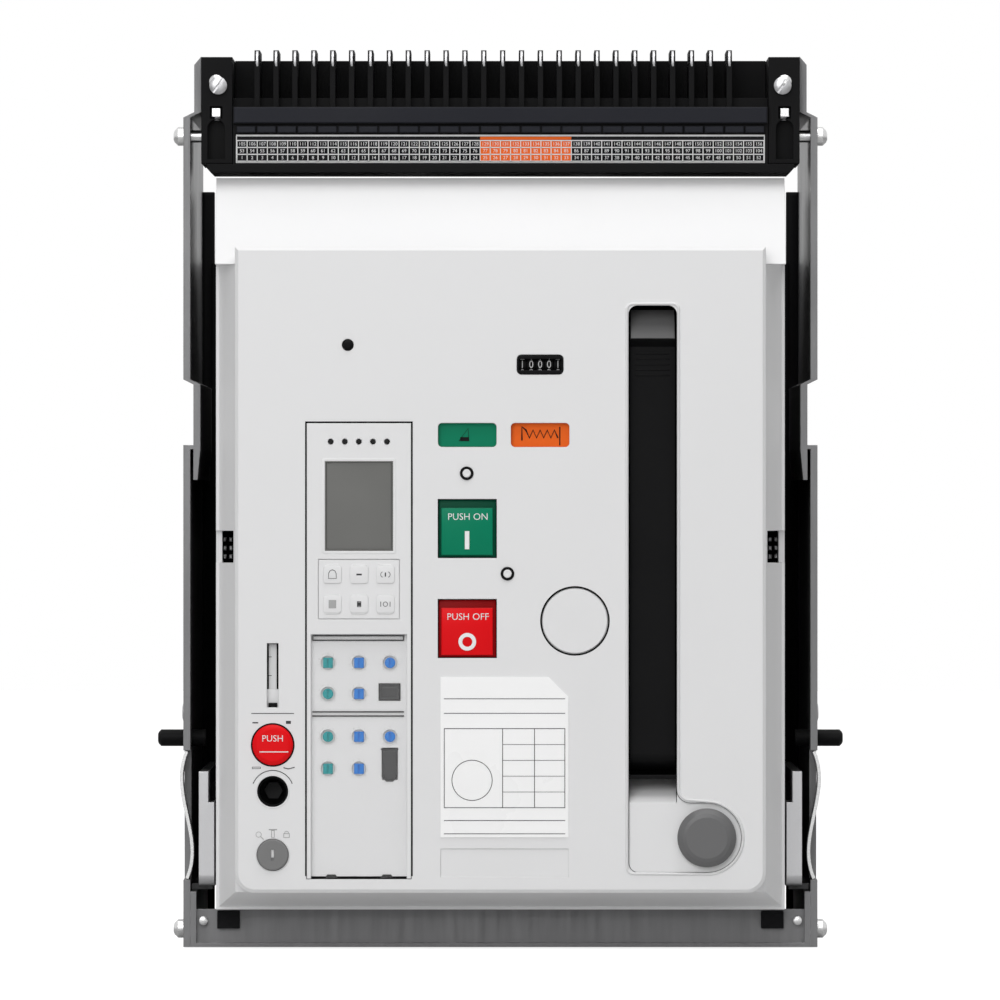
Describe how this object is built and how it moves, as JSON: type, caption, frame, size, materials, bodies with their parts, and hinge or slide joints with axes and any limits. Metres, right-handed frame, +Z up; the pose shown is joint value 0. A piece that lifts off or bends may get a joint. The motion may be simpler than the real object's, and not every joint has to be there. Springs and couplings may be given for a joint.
{
  "type": "air circuit breaker",
  "caption": "Draw-out air circuit breaker seated in its cradle, with a secondary terminal block, push buttons, charging handle and trip unit on its front.",
  "frame": {"origin": "centre of the four mounting holes, on the underside of the cradle's base pan", "axes": "+X to the right seen from the front, +Y to the back, +Z up"},
  "size_m": [0.335, 0.384, 0.4366],
  "materials": {
    "grey_steel": "satin",
    "bright_steel": "satin",
    "zinc_steel": "satin",
    "black_steel": "satin",
    "grey_steel_lock": "satin",
    "silvered_copper": "satin",
    "copper_wire": "satin",
    "black_moulding": "matte",
    "black_plastic": "satin",
    "white_plastic": "satin",
    "grey_plastic": "satin",
    "green_plastic": "satin",
    "red_plastic": "satin",
    "orange_plastic": "satin",
    "blue_plastic": "satin",
    "teal_plastic": "satin",
    "pale_rubber": "matte",
    "grey_screen": "gloss",
    "dark_lens": "gloss",
    "strip_label": "matte",
    "white_label": "satin",
    "clear_plastic": "gloss"
  },
  "bodies": {
    "cradle": {"side_plate_left": "grey_steel", "side_plate_right": "grey_steel", "base_pan": "grey_steel", "cradle_bolts": "bright_steel", "insulating_back": "black_moulding", "main_terminals": "silvered_copper", "terminal_block": "black_plastic", "block_clips": "bright_steel", "end_blocks": "black_plastic", "block_screws": "bright_steel", "number_strip": "strip_label", "catch_springs": "bright_steel"},
    "extension_rails": {"extension_rails": "zinc_steel"},
    "breaker": {"breaker_base": "black_moulding", "outer_cover": "white_plastic", "front_panel": "white_plastic", "handle_channel": "black_plastic", "handle_foot": "white_plastic", "hub_cap": "grey_plastic", "rating_plate": "white_label", "trip_unit": "white_plastic", "trip_screen": "grey_screen", "status_lenses": "dark_lens", "keypad": "pale_rubber", "frame_plates": "zinc_steel", "charging_motor": "black_steel", "release_coils": "copper_wire", "conductors": "silvered_copper", "jaw_fingers": "silvered_copper", "current_transformers": "black_moulding", "arc_chutes": "black_moulding"},
    "release_pin_left": {"release_pin_left": "black_plastic"},
    "release_pin_right": {"release_pin_right": "black_plastic"},
    "on_button": {"on_button": "green_plastic"},
    "off_button": {"off_button": "red_plastic"},
    "release_button": {"release_button": "red_plastic"},
    "reset_button": {"reset_button": "black_plastic"},
    "key_lock": {"key_lock": "grey_steel_lock"},
    "racking_spindle": {"racking_spindle": "zinc_steel"},
    "position_pointer": {"position_pointer": "black_plastic"},
    "charging_handle": {"charging_handle": "black_plastic"},
    "main_shaft": {"main_shaft": "zinc_steel"},
    "moving_contacts": {"moving_contacts": "silvered_copper"},
    "on_off_flag": {"on_off_flag": "green_plastic"},
    "spring_flag": {"spring_flag": "orange_plastic"},
    "cam_shaft": {"cam_shaft": "zinc_steel"},
    "counter_units": {"counter_units": "black_plastic"},
    "counter_tens": {"counter_tens": "black_plastic"},
    "counter_high": {"counter_high": "black_plastic"},
    "clear_cover": {"clear_cover": "clear_plastic"},
    "dial_1": {"dial_1": "teal_plastic"},
    "dial_2": {"dial_2": "blue_plastic"},
    "dial_3": {"dial_3": "blue_plastic"},
    "dial_4": {"dial_4": "teal_plastic"},
    "dial_5": {"dial_5": "blue_plastic"},
    "dial_6": {"dial_6": "teal_plastic"},
    "dial_7": {"dial_7": "blue_plastic"},
    "dial_8": {"dial_8": "blue_plastic"},
    "dial_9": {"dial_9": "teal_plastic"},
    "dial_10": {"dial_10": "blue_plastic"}
  },
  "joints": [
    {"name": "rail_slide", "type": "slide", "parent": "cradle", "child": "extension_rails", "axis": [0, -1, 0], "range_m": [0, 0.2]},
    {"name": "racking_slide", "type": "slide", "parent": "extension_rails", "child": "breaker", "axis": [0, -1, 0], "range_m": [0, 0.045]},
    {"name": "left_pin_pull", "type": "slide", "parent": "cradle", "child": "release_pin_left", "axis": [-1, 0, 0], "range_m": [0, 0.006], "stiffness_N_per_m": 300},
    {"name": "right_pin_pull", "type": "slide", "parent": "cradle", "child": "release_pin_right", "axis": [1, 0, 0], "range_m": [0, 0.006], "stiffness_N_per_m": 300},
    {"name": "on_push", "type": "slide", "parent": "breaker", "child": "on_button", "axis": [0, 1, 0], "range_m": [0, 0.004], "stiffness_N_per_m": 600},
    {"name": "off_push", "type": "slide", "parent": "breaker", "child": "off_button", "axis": [0, 1, 0], "range_m": [0, 0.004], "stiffness_N_per_m": 600},
    {"name": "release_push", "type": "slide", "parent": "breaker", "child": "release_button", "axis": [0, 1, 0], "range_m": [0, 0.003], "stiffness_N_per_m": 600},
    {"name": "reset_push", "type": "slide", "parent": "breaker", "child": "reset_button", "axis": [0, 1, 0], "range_m": [0, 0.0012], "stiffness_N_per_m": 400},
    {"name": "key_turn", "type": "hinge", "parent": "breaker", "child": "key_lock", "pos_m": [-0.11, -0.187, 0.0464], "axis": [0, 1, 0], "range_deg": [0, 90]},
    {"name": "spindle_turn", "type": "hinge", "parent": "breaker", "child": "racking_spindle", "pos_m": [-0.11, -0.15, 0.077], "axis": [0, -1, 0], "range_deg": [0, 5400.01]},
    {"name": "pointer_slide", "type": "slide", "parent": "breaker", "child": "position_pointer", "axis": [0, 0, 1], "range_m": [0, 0.02601]},
    {"name": "handle_pull", "type": "hinge", "parent": "breaker", "child": "charging_handle", "pos_m": [0.0736, -0.176, 0.0949], "axis": [1, 0, 0], "range_deg": [0, 85]},
    {"name": "main_shaft_turn", "type": "hinge", "parent": "breaker", "child": "main_shaft", "pos_m": [0, -0.098, 0.1729], "axis": [-1, 0, 0], "range_deg": [0, 50]},
    {"name": "contact_swing", "type": "hinge", "parent": "breaker", "child": "moving_contacts", "pos_m": [0, -0.01, 0.1529], "axis": [-1, 0, 0], "range_deg": [0, 12.01]},
    {"name": "on_off_flag_slide", "type": "slide", "parent": "breaker", "child": "on_off_flag", "axis": [0, 0, 1], "range_m": [0, 0.01251]},
    {"name": "cam_shaft_turn", "type": "hinge", "parent": "breaker", "child": "cam_shaft", "pos_m": [0, -0.132, 0.1209], "axis": [1, 0, 0], "range_deg": [0, 180]},
    {"name": "spring_flag_slide", "type": "slide", "parent": "breaker", "child": "spring_flag", "axis": [0, 0, 1], "range_m": [0, 0.01251]},
    {"name": "units_turn", "type": "hinge", "parent": "breaker", "child": "counter_units", "pos_m": [0.0192, -0.1803, 0.2832], "axis": [1, 0, 0], "continuous": true},
    {"name": "tens_turn", "type": "hinge", "parent": "breaker", "child": "counter_tens", "pos_m": [0.0192, -0.1803, 0.2832], "axis": [1, 0, 0], "continuous": true},
    {"name": "high_turn", "type": "hinge", "parent": "breaker", "child": "counter_high", "pos_m": [0.0192, -0.1803, 0.2832], "axis": [1, 0, 0], "continuous": true},
    {"name": "cover_swing", "type": "hinge", "parent": "breaker", "child": "clear_cover", "pos_m": [-0.06835, -0.1885, 0.0366], "axis": [1, 0, 0], "range_deg": [0, 90]},
    {"name": "dial_turn_1", "type": "hinge", "parent": "breaker", "child": "dial_1", "pos_m": [-0.08335, -0.184, 0.1391], "axis": [0, 1, 0], "range_deg": [-135, 135]},
    {"name": "dial_turn_2", "type": "hinge", "parent": "breaker", "child": "dial_2", "pos_m": [-0.06835, -0.184, 0.1391], "axis": [0, 1, 0], "range_deg": [-135, 135]},
    {"name": "dial_turn_3", "type": "hinge", "parent": "breaker", "child": "dial_3", "pos_m": [-0.05335, -0.184, 0.1391], "axis": [0, 1, 0], "range_deg": [-135, 135]},
    {"name": "dial_turn_4", "type": "hinge", "parent": "breaker", "child": "dial_4", "pos_m": [-0.08335, -0.184, 0.1241], "axis": [0, 1, 0], "range_deg": [-135, 135]},
    {"name": "dial_turn_5", "type": "hinge", "parent": "breaker", "child": "dial_5", "pos_m": [-0.06835, -0.184, 0.1241], "axis": [0, 1, 0], "range_deg": [-135, 135]},
    {"name": "dial_turn_6", "type": "hinge", "parent": "breaker", "child": "dial_6", "pos_m": [-0.08335, -0.184, 0.1034], "axis": [0, 1, 0], "range_deg": [-135, 135]},
    {"name": "dial_turn_7", "type": "hinge", "parent": "breaker", "child": "dial_7", "pos_m": [-0.06835, -0.184, 0.1034], "axis": [0, 1, 0], "range_deg": [-135, 135]},
    {"name": "dial_turn_8", "type": "hinge", "parent": "breaker", "child": "dial_8", "pos_m": [-0.05335, -0.184, 0.1034], "axis": [0, 1, 0], "range_deg": [-135, 135]},
    {"name": "dial_turn_9", "type": "hinge", "parent": "breaker", "child": "dial_9", "pos_m": [-0.08335, -0.184, 0.0879], "axis": [0, 1, 0], "range_deg": [-135, 135]},
    {"name": "dial_turn_10", "type": "hinge", "parent": "breaker", "child": "dial_10", "pos_m": [-0.06835, -0.184, 0.0879], "axis": [0, 1, 0], "range_deg": [-135, 135]}
  ],
  "couplings": [
    {"joint": "spindle_turn", "follows": "racking_slide", "rad_per_m": 2094.4},
    {"joint": "pointer_slide", "follows": "racking_slide", "ratio": 0.57778},
    {"joint": "contact_swing", "follows": "main_shaft_turn", "ratio": 0.24},
    {"joint": "on_off_flag_slide", "follows": "main_shaft_turn", "m_per_rad": 0.014324},
    {"joint": "spring_flag_slide", "follows": "cam_shaft_turn", "m_per_rad": 0.003979},
    {"joint": "tens_turn", "follows": "units_turn", "ratio": 0.1},
    {"joint": "high_turn", "follows": "units_turn", "ratio": 0.01}
  ]
}
